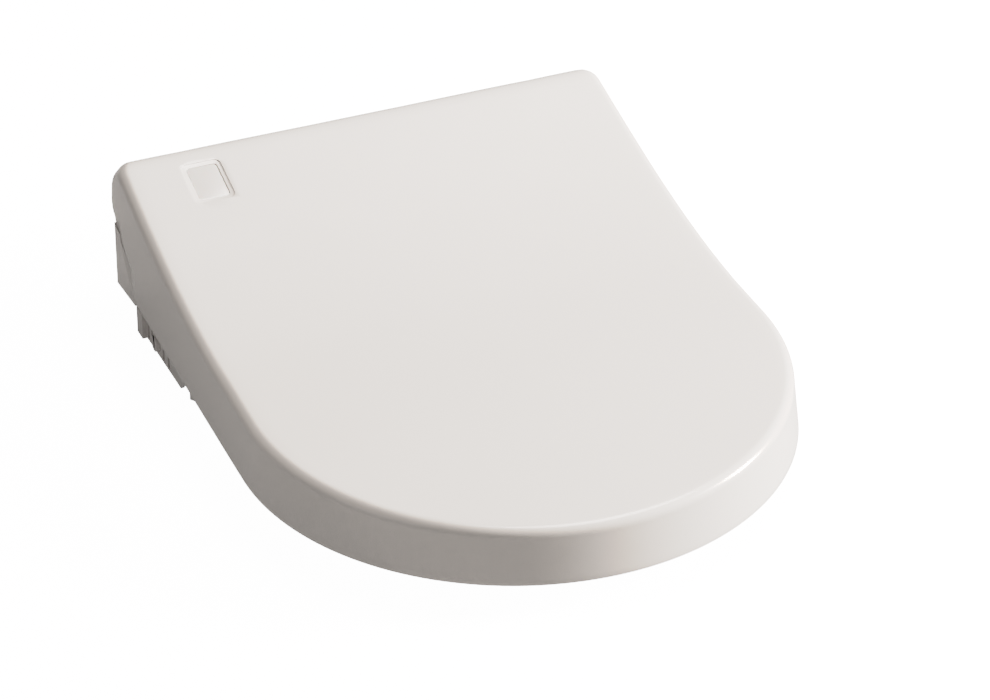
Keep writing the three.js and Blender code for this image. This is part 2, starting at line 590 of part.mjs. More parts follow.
SIDES.forEach(([name, sign]) => {
  add(`seat_arm_${name}`, mirrored(seatArm(), sign), LOOK.gloss);
  add(`seat_bush_${name}`, mirrored(seatBush(), sign), LOOK.nylon);
  const pin = across(5, 158.6, 183.4, AXIS.s, AXIS.z);
  add(`hinge_pin_${name}`, mirrored(pin, sign), LOOK.steel);
  const damper = across(11.8, 96, 158.3, AXIS.s, AXIS.z);
  add(sign < 0 ? 'lid_damper' : 'seat_damper', mirrored(damper, sign), LOOK.grey);
  add(`seat_bumper_rear_${name}`, seatBumper(sign * 148, 222), LOOK.rubber);
  add(`seat_bumper_front_${name}`, seatBumper(sign * 84, 408), LOOK.rubber);
  add(`lid_bumper_rear_${name}`, lidBumper(sign * 150, 215), LOOK.rubber);
  add(`lid_bumper_front_${name}`, lidBumper(sign * 70, 448), LOOK.rubber);
});
group.add(wandUnit());
add('inlet_fitting', inletFitting(), LOOK.brass);
add('inlet_valve', inletValve(), LOOK.nylon);
add('heater_tank', heaterTank(), LOOK.steel);
add('wash_pump', washPump(), LOOK.dark);
add('feed_pipe', feedPipe(), LOOK.nylon);
add('tank_pipe', tankPipe(), LOOK.nylon);
add('blower_case', blowerCase(), LOOK.pale);
add('blower_cover', blowerCover(), LOOK.pale);
add('fan_wheel', fanWheel(), LOOK.dark);
add('fan_motor', fanMotor(), LOOK.steel);
add('dryer_flap', dryerFlap(), LOOK.pale);
add('filter_cartridge', cartridge(), LOOK.dark);
add('cord_gland', cordGland(), LOOK.pale);
add('power_board', powerBoard(), LOOK.board);
add('transformer', transformer(), LOOK.dark);
add('control_board', controlBoard(), LOOK.board);

export default group;
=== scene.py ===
# %% [markdown]
# # Electric bidet seat
# A closed bidet seat is nearly all lid: one glossy off-white moulding, high and rolled over its
# hinge at the back, level and round in front. Under it sit a ring seat, a base with a ribbed
# side wall and the water, air and control unit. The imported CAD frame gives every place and
# every motion, so this script only adds looks: finer moulded pieces in the frame's own places,
# and a finish for each material. Everything is in metres, in the frame's axes.

# %% Load the frame
import json
import math

import bmesh
import bpy
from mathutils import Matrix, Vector


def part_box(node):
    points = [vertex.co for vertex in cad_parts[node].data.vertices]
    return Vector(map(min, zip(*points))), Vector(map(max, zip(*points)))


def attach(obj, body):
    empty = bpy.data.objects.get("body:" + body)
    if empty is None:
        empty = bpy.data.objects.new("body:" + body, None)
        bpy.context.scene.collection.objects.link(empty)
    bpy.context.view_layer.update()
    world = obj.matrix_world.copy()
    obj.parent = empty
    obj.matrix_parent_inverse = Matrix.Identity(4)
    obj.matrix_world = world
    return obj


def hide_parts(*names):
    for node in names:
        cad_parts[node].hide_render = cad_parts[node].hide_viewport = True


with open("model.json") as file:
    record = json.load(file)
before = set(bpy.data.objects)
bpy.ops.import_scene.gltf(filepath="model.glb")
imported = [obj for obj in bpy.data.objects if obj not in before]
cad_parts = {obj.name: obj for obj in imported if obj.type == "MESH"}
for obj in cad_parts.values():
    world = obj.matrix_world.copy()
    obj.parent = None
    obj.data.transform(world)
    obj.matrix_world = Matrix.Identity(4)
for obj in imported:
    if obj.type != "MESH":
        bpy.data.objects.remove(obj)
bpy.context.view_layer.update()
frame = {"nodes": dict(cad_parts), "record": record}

# %% [markdown]
# ## Places along the seat
# A maker marks a seat lengthwise in stations: millimetres forward of the lid's top rear edge.
# The frame's own boxes say where that edge is, so a station turns into a Y coordinate with
# one subtraction, and every piece below can be given as (x, station, height) in millimetres.

# %% Stations
MM = 0.001
OVERHANG = 8.9          # the lid's rolled rear end stands this far behind station 0
lid_low, lid_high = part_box("lid_shell")
ZERO_Y = lid_high.y - OVERHANG * MM
FRONT = (ZERO_Y - lid_low.y) / MM
SKIRT = lid_low.z / MM
WIDEST_HALF = lid_high.x / MM


def place(x, station, height):
    """A point of the frame from millimetres: across, forward of the rear edge, and up."""
    return Vector((x * MM, ZERO_Y - station * MM, height * MM))


print(f"lid: front at station {FRONT:.1f}, half width {WIDEST_HALF:.1f}, "
      f"skirt at {SKIRT:.1f} mm")

# %% [markdown]
# ## Camera
# The seat is seen from its front left, a good third of the way up, through a long lens from
# about three metres, which keeps the two sides of the lid nearly parallel.

# %% Make the camera
CAMERA_AT = Vector((-1.0361, -2.4913, 1.7725))
CAMERA_AIM = Vector((0.00526, -0.00716, 0.0533))
LENS = 168.18           # millimetres, on a 36 mm wide film

camera_data = bpy.data.cameras.new("camera")
camera_data.sensor_fit = "HORIZONTAL"
camera_data.sensor_width = 36
camera_data.lens = LENS
camera_data.clip_start, camera_data.clip_end = 0.05, 60
camera = bpy.data.objects.new("camera", camera_data)
camera.location = CAMERA_AT
camera.rotation_euler = (CAMERA_AIM - CAMERA_AT).to_track_quat("-Z", "Y").to_euler()
bpy.context.scene.collection.objects.link(camera)
bpy.context.scene.camera = camera
print(f"camera: {(CAMERA_AIM - CAMERA_AT).length:.2f} m away")

# %% [markdown]
# ## Studio
# White plastic on white is drawn by its shaded sides, so the room itself stays dim and the
# light comes from panels. The floor is two things at once. The camera sees a lit table whose
# glow keeps it plain and pale. Every other ray sees a darker card with a faint warm light of
# its own, which is what reaches up under the lid and into the shaded sides.

# %% Floor and room
FLOOR_HALF = 9.0
TABLE_GLOW = 3.5        # past the bend of the tone curve, so it shows as white
CARD_GLOW = 0.17
ROOM_GLOW = 0.085
bm = bmesh.new()
bmesh.ops.create_grid(bm, x_segments=1, y_segments=1, size=FLOOR_HALF)
floor_mesh = bpy.data.meshes.new("floor")
bm.to_mesh(floor_mesh)
bm.free()
floor = bpy.data.objects.new("floor", floor_mesh)
bpy.context.scene.collection.objects.link(floor)


def node_of(tree, kind, **values):
    """A new shader node, with sockets set by their names."""
    made = tree.nodes.new(kind)
    for name, value in values.items():
        made.inputs[name.replace("_", " ")].default_value = value
    return made


def grey(level):
    return (level, level, level, 1)


floor_finish = bpy.data.materials.new("pale_floor")
floor_finish.use_nodes = True
tree = floor_finish.node_tree
tree.nodes.clear()
seen = node_of(tree, "ShaderNodeLightPath")
paper = node_of(tree, "ShaderNodeBsdfDiffuse", Color=grey(0.35))
card = node_of(tree, "ShaderNodeBsdfDiffuse", Color=grey(0.27))
glow = node_of(tree, "ShaderNodeEmission", Color=grey(1), Strength=TABLE_GLOW)
lit = node_of(tree, "ShaderNodeAddShader")
faint = node_of(tree, "ShaderNodeEmission", Color=(1, 0.96, 0.93, 1), Strength=CARD_GLOW)
soft = node_of(tree, "ShaderNodeAddShader")
either = node_of(tree, "ShaderNodeMixShader")
out = node_of(tree, "ShaderNodeOutputMaterial")
tree.links.new(paper.outputs[0], lit.inputs[0])
tree.links.new(glow.outputs[0], lit.inputs[1])
tree.links.new(seen.outputs["Is Camera Ray"], either.inputs[0])
tree.links.new(card.outputs[0], soft.inputs[0])
tree.links.new(faint.outputs[0], soft.inputs[1])
tree.links.new(soft.outputs[0], either.inputs[1])
tree.links.new(lit.outputs[0], either.inputs[2])
tree.links.new(either.outputs[0], out.inputs[0])
floor_mesh.materials.append(floor_finish)

room = bpy.data.worlds.new("room")
room.use_nodes = True
room.node_tree.nodes["Background"].inputs["Color"].default_value = (1, 0.97, 0.94, 1)
room.node_tree.nodes["Background"].inputs["Strength"].default_value = ROOM_GLOW
bpy.context.scene.world = room
print("floor and room made")

# %% [markdown]
# ## Tone
# The panel beside the seat has to be strong enough to turn the shaded front into the bright
# right side within a hand's width of skirt. A camera keeps such light from burning out by
# flattening the bright end of its tone curve, so the scene gets the same curve, and the
# floor's glow lies beyond its bend.

# %% Tone curve
BRIGHTEST = 4.0         # scene brightness that shows as white
TONES = [(0.2, 0.26), (0.5, 0.52), (0.8, 0.68), (1.2, 0.77), (2.0, 0.86), (3.2, 0.97)]
tone = bpy.context.scene.view_settings
tone.view_transform = "Standard"
tone.use_curve_mapping = True
tone.curve_mapping.white_level = (BRIGHTEST,) * 3
curve = tone.curve_mapping.curves[3]
for bright, shown in TONES:
    curve.points.new(bright / BRIGHTEST, shown)
tone.curve_mapping.update()
print("tone curve:", len(curve.points), "points")

# %% [markdown]
# ## Light panels
# A large soft panel stands to the seat's right and a little in front, and draws the bright
# end of the skirt. A wider one hangs behind and above, and gives the top its even tone. A
# weak one on the left only keeps the shaded side wall readable. All three are a little warm.

# %% Hang the light panels
WARM, NEARLY_WHITE = (1, 0.925, 0.875), (1, 0.955, 0.925)
SEAT_MIDDLE = (0, 0, 0.05)


def panel(name, at, width, height, watts, tint):
    """A soft rectangular light that faces the seat."""
    data = bpy.data.lights.new(name, "AREA")
    data.shape = "RECTANGLE"
    data.size, data.size_y = width, height
    data.energy = watts
    data.color = tint
    light = bpy.data.objects.new(name, data)
    light.location = at
    facing = Vector(SEAT_MIDDLE) - Vector(at)
    light.rotation_euler = facing.to_track_quat("-Z", "Y").to_euler()
    bpy.context.scene.collection.objects.link(light)
    return light


for light in (panel("side_panel", (2.5, -0.78, 1.05), 0.7, 1.0, 222, WARM),
              panel("top_panel", (0.85, 0.35, 2.7), 1.3, 1.3, 70, WARM),
              panel("left_panel", (-2.1, -0.7, 0.7), 1.4, 1.0, 3.5, NEARLY_WHITE)):
    print(f"{light.name}: {light.data.energy:g} W")

# %% [markdown]
# ## Rings of points
# Both shells are lofted: a line of edges is extruded again and again, and after each
# extrusion the new points are put where the next section of the shell is. The extrude
# operator keeps the faces and their order right, so only the sections need to be worked out.


# %% Extrude a line of edges to new places
def next_ring(bm, edges, where):
    """Extrudes edges and moves each new point to where(its column); returns the new edges."""
    made = bmesh.ops.extrude_edge_only(bm, edges=edges)["geom"]
    points = [g for g in made if isinstance(g, bmesh.types.BMVert)]
    lines = [g for g in made if isinstance(g, bmesh.types.BMEdge)]
    tag = bm.verts.layers.int["column"]
    for point in points:
        point.co = where(point[tag])
    fresh = set(points)
    return [e for e in lines if all(v in fresh for v in e.verts)]


def mix(a, b, share):
    return a + (b - a) * share


# %% [markdown]
# ## The lid's outline
# From above, the lid is a slow taper from its widest place to its straight rear end, with a
# near half circle in front. Its walls lean inwards as they rise, more in front than behind.

# %% Plan and lean of the lid's walls
WIDEST = 290            # station of the widest place
REAR_HALF = 187.8       # half width at the rear
TAPER = 1.15            # how the sides curve towards the rear
LEAN = (1.6, 9.4)       # inward lean over 100 mm of height: at the rear, and added in front
LEAN_FULL = 240         # station from which the whole lean is there


def half_width(station):
    back = max(0.0, 1 - station / WIDEST)
    return WIDEST_HALF - (WIDEST_HALF - REAR_HALF) * back ** TAPER


def lean(station):
    return (LEAN[0] + LEAN[1] * min(1, max(0, station) / LEAN_FULL) ** 2) / 100


def wall_inset(station, height):
    return lean(station) * (height - SKIRT)


# the lid's top line over its skirt, steep behind and nearly level in front, as knots
RIDGE = [(-60, 111), (0, 93), (60, 75.3), (120, 60.1), (180, 49.5), (240, 44.8),
         (360, 43.1), (500, 40.0)]


def top_height(station):
    """Height of the lid's top at a station, by a smooth curve through the knots."""
    at = min(max(station, RIDGE[0][0]), RIDGE[-1][0] - 1e-6)
    i = max(k for k in range(len(RIDGE) - 1) if RIDGE[k][0] <= at)
    p = [RIDGE[min(max(k, 0), len(RIDGE) - 1)] for k in (i - 1, i, i + 1, i + 2)]

    def spline(t, axis):
        p0, p1, p2, p3 = (point[axis] for point in p)
        v0, v1 = (p2 - p0) / 2, (p3 - p1) / 2
        return ((2 * p1 - 2 * p2 + v0 + v1) * t ** 3
                + (-3 * p1 + 3 * p2 - 2 * v0 - v1) * t ** 2 + v0 * t + p1)

    low, high = 0.0, 1.0
    for _ in range(24):
        middle = (low + high) / 2
        if spline(middle, 0) < at:
            low = middle
        else:
            high = middle
    return SKIRT + spline((low + high) / 2, 1)


print(f"top height: {top_height(0):.1f} mm behind, {top_height(470):.1f} mm in front")

# %% [markdown]
# ## The lid's lengthwise line
# The top is one sheet that bends only lengthwise: along the top line, round the big roll over
# the hinge, straight down behind, and round the lip that tucks in under the hinge. A place on
# it is given by its run, which is the station on top and goes on counting backwards, along
# the sheet, round the roll.

# %% Follow the lid's sheet round the roll
ROLL = {"s": 5.7, "z": 99.7, "r": 14}
LIP = {"s": 2.2, "z": 79.6, "r": 12.4, "turn": 1.2}
ROLL_START = 9.8        # station where the top turns into the roll
ROLL_TILT = math.acos((top_height(ROLL_START) - ROLL["z"]) / ROLL["r"])
APART = math.hypot(ROLL["s"] - LIP["s"], ROLL["z"] - LIP["z"])
BACK_TILT = (math.atan2(ROLL["s"] - LIP["s"], ROLL["z"] - LIP["z"])
             - math.asin((ROLL["r"] - LIP["r"]) / APART))
ROLL_RUN = ROLL["r"] * (ROLL_TILT + math.pi / 2 - BACK_TILT)
BACK_RUN = math.sqrt(APART ** 2 - (ROLL["r"] - LIP["r"]) ** 2)
LIP_RUN = LIP["r"] * (LIP["turn"] + BACK_TILT)
LAST_RUN = ROLL_START - ROLL_RUN - BACK_RUN - LIP_RUN


def sheet(run):
    """Station and height of the sheet at a run, and its outward direction as (station, up)."""
    if run >= ROLL_START:
        slope = top_height(run + 0.5) - top_height(run - 0.5)
        size = math.hypot(slope, 1)
        return run, top_height(run), -slope / size, 1 / size
    back = ROLL_START - run
    if back < ROLL_RUN:
        turn = ROLL_TILT - back / ROLL["r"]
        out_s, out_z = math.sin(turn), math.cos(turn)
        return ROLL["s"] + ROLL["r"] * out_s, ROLL["z"] + ROLL["r"] * out_z, out_s, out_z
    back -= ROLL_RUN
    if back < BACK_RUN:
        out_s, out_z = -math.cos(BACK_TILT), math.sin(BACK_TILT)
        return (ROLL["s"] + ROLL["r"] * out_s - back * out_z,
                ROLL["z"] + ROLL["r"] * out_z + back * out_s, out_s, out_z)
    turn = min(LIP["turn"], (back - BACK_RUN) / LIP["r"] - BACK_TILT)
    out_s, out_z = -math.cos(turn), -math.sin(turn)
    return LIP["s"] + LIP["r"] * out_s, LIP["z"] + LIP["r"] * out_z, out_s, out_z


print(f"run of the sheet round the roll and the lip: {ROLL_START - LAST_RUN:.1f} mm")

# %% [markdown]
# ## The lid's columns
# The grid that becomes the lid has a closed border, and each of its points is the head of a
# column that later runs down the wall. The columns are shared out by what happens there: many
# round the roll and the front, a few exactly where the seam over the end cover has its ends.

# %% Columns round the outline
ACROSS, ALONG = 40, 76  # grid cells across and along the lid's sheet
STEP = 36.4             # station where the skirt steps down, in front of the end cover
SEAM_START = 13.4
FLANK_STOPS = [SEAM_START, 19.2, 25, 30.7, STEP]
ROLL_CELLS = 17
ROLL_LEAD = 3.5         # the roll's columns are spread to this far past the seam's rear end
CURVE_CELLS = 20        # columns from the widest place to halfway round the front's curve


def column(x, station, out_x, out_s, run=None):
    """One place on the outline: where, which way is outwards, and its run if it is behind."""
    size = math.hypot(out_x, out_s)
    return {"x": x, "s": station, "nx": out_x / size, "ns": out_s / size,
            "run": run}


def right_half():
    """Columns from the end of the rear lip round to the front tip."""
    cells = []
    for i in range(ROLL_CELLS):
        run = mix(LAST_RUN, SEAM_START + ROLL_LEAD, i / ROLL_CELLS)
        cells.append(column(REAR_HALF, sheet(run)[0], 1, 0, run))
    for station in FLANK_STOPS:
        cells.append(column(half_width(station), station, 1, -0.03))
    flank_cells = ALONG - ROLL_CELLS - len(FLANK_STOPS) - CURVE_CELLS
    for i in range(1, flank_cells + 1):
        station = STEP + (WIDEST - STEP) * i / flank_cells
        slope = (half_width(station + 1) - half_width(station - 1)) / 2
        cells.append(column(half_width(station), station, 1, -slope))
    depth = FRONT - WIDEST
    side_steps = ALONG + 1 - len(cells)
    for i in range(1, side_steps + ACROSS // 2 + 1):
        if i <= side_steps:
            turn = math.pi / 4 * i / side_steps
        else:
            turn = math.pi / 4 * (1 + (i - side_steps) / (ACROSS // 2))
        cells.append(column(WIDEST_HALF * math.cos(turn), WIDEST + depth * math.sin(turn),
                            math.cos(turn) / WIDEST_HALF, math.sin(turn) / depth))
    return cells


def whole_outline():
    """The rear lip's columns, then the right side, the front and the left side."""
    right = right_half()
    left = [dict(c, x=-c["x"], nx=-c["nx"]) for c in right]
    end = right[0]
    rear = [column(mix(-1, 1, i / ACROSS) * end["x"], end["s"], 0, -1, LAST_RUN)
            for i in range(1, ACROSS)]
    return [left[0]] + rear + right + left[:0:-1][1:]


outline = whole_outline()
assert len(outline) == 2 * (ACROSS + ALONG), len(outline)
print("outline:", len(outline), "columns")

# %% [markdown]
# ## Lid: top and rim
# A grid is stretched over the unrolled sheet and laid along the top and round the roll. Its
# side and front edges then turn down into the walls through a tight quarter circle, which
# opens over the roll, into a soft corner, and is nearly square behind.

# %% Sections of the lid
RIM = 7.5               # radius between the top and the walls
RIM_KNOTS = [(16, RIM), (-5, 12.8), (-24, 2.6), (-60, 2.2)]
RIM_RINGS, WALL_RINGS, SKIRT_RINGS = 8, 8, 6
HINGE_S, HINGE_Z = 14, 91
NOTCH_REACH = 28.3      # the rear ends stop on an arc round the hinge, between two angles
NOTCH_TURNS = (1.1, 1.53)
SEAM = [(SEAM_START, 56.6), (STEP, 46.6)]
STEP_DRIFT = 2.6        # the step's edge runs this far forward on its way down
STEP_FADE = 12          # and the columns in front of it follow less and less over this length


def rim_radius(run):
    """Radius of the turn at a run: it widens over the roll and is nearly square behind."""
    if run >= RIM_KNOTS[0][0]:
        return RIM
    for (r0, a), (r1, b) in zip(RIM_KNOTS, RIM_KNOTS[1:]):
        if run >= r1:
            share = (r0 - run) / (r0 - r1)
            return mix(a, b, share * share * (3 - 2 * share))
    return RIM_KNOTS[-1][1]


def rim_start(c):
    """Where the sheet ends at a column: x, run, the sheet's place there and the rim radius."""
    run = c["run"]
    if run is None:
        tilt = sheet(c["s"])[2]
        radius = rim_radius(c["s"])
        inset = wall_inset(c["s"], top_height(c["s"]) - radius) + radius
        x, run = c["x"] - c["nx"] * inset, c["s"] - c["ns"] * inset + tilt * radius
        return x, run, sheet(run), radius
    station, height, out_s, out_z = sheet(run)
    radius = rim_radius(run)
    low_s, low_z = station - out_s * radius, height - out_z * radius
    x = half_width(low_s) - wall_inset(low_s, low_z) - radius
    return x * (c["nx"] or c["x"] / REAR_HALF), run, (station, height, out_s, out_z), radius


def rim_point(c, share):
    """A point of the quarter circle between the sheet and the wall."""
    x, _, (station, height, out_s, out_z), radius = rim_start(c)
    turn = share * math.pi / 2
    out, down = radius * math.sin(turn), radius * (1 - math.cos(turn))
    return place(x + c["nx"] * out, station + c["ns"] * out - out_s * down,
                 height - out_z * down)


def seam_height(station):
    """Height of the seam over the end cover, where the walls stop."""
    share = min(1, max(0, (station - SEAM_START) / (STEP - SEAM_START)))
    return mix(SEAM[0][1], SEAM[1][1], share)


def wall_point(c, share):
    """A point of the wall between the rim and the seam's level."""
    height = mix(top_height(c["s"]) - rim_radius(c["s"]), seam_height(c["s"]), share)
    inset = wall_inset(c["s"], height)
    return place(c["x"] - c["nx"] * inset, c["s"] - c["ns"] * inset, height)


def notch_point(side, turn):
    """A point of the arc round the hinge where the lid's rear ends stop."""
    station = HINGE_S - NOTCH_REACH * math.cos(turn)
    height = HINGE_Z - NOTCH_REACH * math.sin(turn)
    return place(side * (half_width(station) - wall_inset(station, height)), station, height)


def skirt_point(c, share):
    """A point of the skirt between the seam's level and its lower edge."""
    height = mix(SEAM[1][1], SKIRT, share)
    inset = wall_inset(c["s"], height)
    near = max(0.0, 1 - (c["s"] - STEP) / STEP_FADE)
    station = c["s"] - c["ns"] * inset + STEP_DRIFT * share * near
    return place(c["x"] - c["nx"] * inset, station, height)


# %% Stretch a grid over the outline
def stretched_grid(bm, across, along, edge_of):
    """A grid whose border follows edge_of(loop index), with the inside spread between."""
    columns = bm.verts.layers.int.new("column")
    bmesh.ops.create_grid(bm, x_segments=across, y_segments=along, size=1)
    total = 2 * (across + along)
    for v in bm.verts:
        i = round((v.co.x + 1) / 2 * across)
        j = round((1 - v.co.y) / 2 * along)
        u, w = i / across, j / along
        rear, front = edge_of(i), edge_of((across + along + across - i) % total)
        left, right = edge_of((total - j) % total), edge_of(across + j)
        corners = [edge_of(0), edge_of(across), edge_of(across + along),
                   edge_of(2 * across + along)]
        flat = ((1 - w) * rear + w * front + (1 - u) * left + u * right
                - (1 - u) * (1 - w) * corners[0] - u * (1 - w) * corners[1]
                - u * w * corners[2] - (1 - u) * w * corners[3])
        if j == 0:
            v[columns] = i
        elif i == across:
            v[columns] = across + j
        elif j == along:
            v[columns] = across + along + across - i
        elif i == 0:
            v[columns] = (total - j) % total
        v.co = flat
    return [e for e in bm.edges if e.is_boundary]


def lid_edge(i):
    x, run, _, _ = rim_start(outline[i])
    return Vector((x, run, 0))


bm = bmesh.new()
border = stretched_grid(bm, ACROSS, ALONG, lid_edge)
tag = bm.verts.layers.int["column"]
border = [e for e in border if not all(v[tag] <= ACROSS and v.co.y < LAST_RUN + 1
                                       for v in e.verts)]
for v in bm.verts:
    station, height, _, _ = sheet(v.co.y)
    v.co = place(v.co.x, station, height)
print("lid sheet:", len(bm.faces), "cells,", len(border), "edges that turn down")

# %% [markdown]
# ## Lid: walls
# From the rim the walls run down to the level of the seam over the end covers. There the loop
# is opened: only the part in front of the step goes on down to the skirt's edge, which leaves
# the notch that the end covers fill. The two flat ends of the roll are filled with one face
# each, and stop below on an arc round the hinge.

# %% Draw the walls down
for k in range(1, RIM_RINGS + 1):
    border = next_ring(bm, border, lambda i, k=k: rim_point(outline[i], k / RIM_RINGS))
roll_line = [e for e in border if any(outline[v[tag]]["run"] is not None for v in e.verts)]
border = [e for e in border if e not in set(roll_line)]
for k in range(1, WALL_RINGS + 1):
    border = next_ring(bm, border, lambda i, k=k: wall_point(outline[i], k / WALL_RINGS))
seam_ends = {v for e in border for v in e.verts
             if abs(outline[v[tag]]["s"] - SEAM_START) < 0.01}
border = [e for e in border if all(outline[v[tag]]["s"] >= STEP - 0.1 for v in e.verts)]
for k in range(1, SKIRT_RINGS + 1):
    border = next_ring(bm, border, lambda i, k=k: skirt_point(outline[i], k / SKIRT_RINGS))

# %% Fill the flat ends of the roll
NOTCH_CELLS = 8
for low in seam_ends:
    side = math.copysign(1, low.co.x)
    ends = [e for e in roll_line if e.verts[0].co.x * side > 0]
    wall = [e for e in bm.edges if e.is_boundary and all(v[tag] == low[tag] for v in e.verts)]
    tip = min((v for e in ends for v in e.verts), key=lambda v: v.co.z)
    arc = [bm.verts.new(notch_point(side, mix(*NOTCH_TURNS, k / NOTCH_CELLS)))
           for k in range(NOTCH_CELLS + 1)]
    line = [tip] + arc + [low]
    seam = [bm.edges.new(pair) for pair in zip(line, line[1:])]
    bmesh.ops.contextual_create(bm, geom=ends + wall + seam)
bmesh.ops.recalc_face_normals(bm, faces=bm.faces)
print("lid skin:", len(bm.faces), "faces")

# %% [markdown]
# ## From skin to moulding
# A moulding is a wall of even thickness with no knife edges. Solidify gives the skin its wall,
# Boolean cuts windows and slots out of it, and a small Bevel breaks the edges that are left.
# The modifiers are settled into the mesh at once, so that each finished piece is plain faces.

# %% Make, cut and settle a piece
def make_object(name, bm):
    mesh = bpy.data.meshes.new(name)
    bm.to_mesh(mesh)
    bm.free()
    made = bpy.data.objects.new(name, mesh)
    bpy.context.scene.collection.objects.link(made)
    return made


def settle(piece):
    """Bakes the live modifiers of a piece into its mesh."""
    bpy.context.view_layer.update()
    shaped = piece.evaluated_get(bpy.context.evaluated_depsgraph_get())
    mesh = bpy.data.meshes.new_from_object(shaped)
    piece.modifiers.clear()
    piece.data = mesh
    return piece


def solidify(piece, thickness):
    wall = piece.modifiers.new("wall", "SOLIDIFY")
    wall.thickness = thickness * MM
    wall.offset = -1
    wall.use_even_offset = True
    return settle(piece)


def cut(piece, *cutters):
    """Cuts closed bodies out of a piece and throws the cutters away."""
    for cutter in cutters:
        step = piece.modifiers.new("cut", "BOOLEAN")
        step.operation, step.solver, step.object = "DIFFERENCE", "EXACT", cutter
    settle(piece)
    for cutter in cutters:
        bpy.data.objects.remove(cutter)
    return piece


def break_edges(piece, width, segments, angle):
    """Rounds every edge sharper than an angle, and shades the rest smoothly."""
    edge = piece.modifiers.new("edges", "BEVEL")
    edge.width, edge.segments, edge.limit_method = width * MM, segments, "ANGLE"
    edge.angle_limit = math.radians(angle)
    edge.use_clamp_overlap = True
    edge.harden_normals = False
    settle(piece)
    return smooth(piece)


def smooth(piece, angle=32):
    piece.data.shade_smooth()
    piece.data.set_sharp_from_angle(angle=math.radians(angle))
    return piece


def cross_bar(name, rear_low, front_high, x0, x1):
    """A bar that runs across the seat, between two (station, height) corners."""
    (s0, z0), (s1, z1) = rear_low, front_high
    bm = bmesh.new()
    corners = [(s0, z0), (s1, z0), (s1, z1), (s0, z1)]
    face = bm.faces.new([bm.verts.new(place(x0, s, z)) for s, z in corners])
    made = bmesh.ops.extrude_face_region(bm, geom=[face])["geom"]
    far = [g for g in made if isinstance(g, bmesh.types.BMVert)]
    bmesh.ops.translate(bm, vec=place(x1, 0, 0) - place(x0, 0, 0), verts=far)
    bmesh.ops.recalc_face_normals(bm, faces=bm.faces)
    return make_object(name, bm)


def round_rect(x, station, width, length, radius, cells=6):
    """Points of a rounded rectangle round a centre."""
    points = []
    for k, (sx, ss) in enumerate([(1, 1), (-1, 1), (-1, -1), (1, -1)]):
        for i in range(cells + 1):
            turn = math.pi / 2 * (k + i / cells)
            points.append((x + sx * (width / 2 - radius) + radius * math.cos(turn),
                           station + ss * (length / 2 - radius) + radius * math.sin(turn)))
    return points


LID_WALL = 3
lid = solidify(make_object("lid", bm), LID_WALL)
print("lid shell:", len(lid.data.polygons), "faces")

# %% [markdown]
# ## Lid: window and slots
# A small window near the rear left corner lets a sensor under the lid see whoever comes near.
# It is a shallow rounded frame with a deeper opening in it. Behind, the lip has two slots for
# the arms of the seat.

# %% Cut the lid
WINDOW_X, WINDOW_S, WINDOW_WIDE, WINDOW_LONG = -128, 35.5, 23.2, 31
FRAME_GROW, FRAME_DEPTH, FRAME_CORNER = 6.4, 0.6, 4.5
HOLE_DEPTH, HOLE_CORNER = 12, 3
ABOVE = -6              # a cutter starts this far over the top, so it cuts right through it
ARM_INNER, ARM_OUTER = 169.5, 180.5
SLOT_REAR_LOW, SLOT_FRONT_HIGH = (-14, 55), (9, 83)


def top_slab(name, points, upper, lower):
    """A body over an outline that lies between two depths under the lid's top."""
    bm = bmesh.new()
    face = bm.faces.new([bm.verts.new(place(a, b, 0)) for a, b in points])
    made = bmesh.ops.extrude_face_region(bm, geom=[face])["geom"]
    lifted = {g for g in made if isinstance(g, bmesh.types.BMVert)}
    for v in bm.verts:
        station = (ZERO_Y - v.co.y) / MM
        v.co.z = (top_height(station) - (upper if v in lifted else lower)) * MM
    bmesh.ops.recalc_face_normals(bm, faces=bm.faces)
    return make_object(name, bm)


def arm_room(name, rear_low, front_high, inner_gap, outer_gap):
    """Two cutters that make room for the seat's arms, with a gap on each side of an arm."""
    return [cross_bar(f"{name}_{side}", rear_low, front_high,
                      *sorted((side * (ARM_INNER - inner_gap),
                               side * (ARM_OUTER + outer_gap))))
            for side in (-1, 1)]


frame_cut = top_slab("frame_cut",
                     round_rect(WINDOW_X, WINDOW_S, WINDOW_WIDE + FRAME_GROW,
                                WINDOW_LONG + FRAME_GROW, FRAME_CORNER), ABOVE, FRAME_DEPTH)
hole_cut = top_slab("hole_cut", round_rect(WINDOW_X, WINDOW_S, WINDOW_WIDE, WINDOW_LONG,
                                           HOLE_CORNER), ABOVE, HOLE_DEPTH)
slot_cuts = arm_room("slot_cut", SLOT_REAR_LOW, SLOT_FRONT_HIGH, 2, 1.2)
cut(lid, frame_cut, hole_cut, *slot_cuts)
break_edges(lid, 0.7, 2, 45)
print("lid:", len(lid.data.polygons), "faces")

# %% [markdown]
# ## Window panel
# The window is a separate moulding of the same white plastic, thin enough for infra-red light
# to pass. It lies a little below its frame and dips towards its middle, so the rim around it
# draws a fine line. The panel is a slab whose upper face is inset and pushed down.

